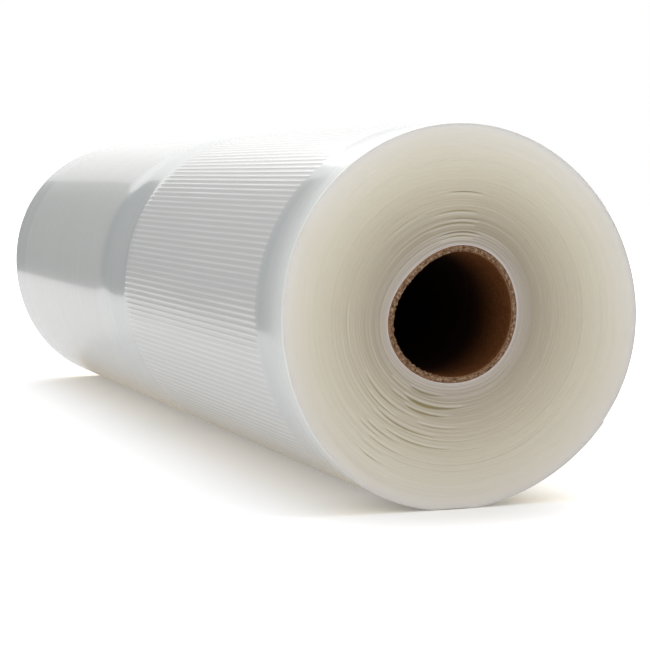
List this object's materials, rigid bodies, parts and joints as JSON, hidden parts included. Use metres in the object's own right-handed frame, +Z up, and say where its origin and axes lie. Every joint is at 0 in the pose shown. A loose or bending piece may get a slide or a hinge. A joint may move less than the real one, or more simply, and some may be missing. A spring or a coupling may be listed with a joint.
{
  "type": "roll of embossed poly tubing",
  "caption": "Roll of clear embossed poly tubing on a cardboard core, with a ribbed lane and a smooth lane, lying on its side with a soft flat spot.",
  "frame": {"origin": "middle of the box that the roll fills, on the surface that it lies on", "axes": "+Y along the roll's axis from the dished near end to the far end, +Z up out of the flat spot"},
  "size_m": [0.0801, 0.2854, 0.0796],
  "materials": {
    "core_cardboard": "matte grey-brown paper board",
    "clear_film": "clear wound film, milky in the mass, glossy on its outer turn"
  },
  "bodies": {
    "root": {"cardboard_core": "core_cardboard", "tubing_roll": "clear_film"}
  },
  "joints": []
}
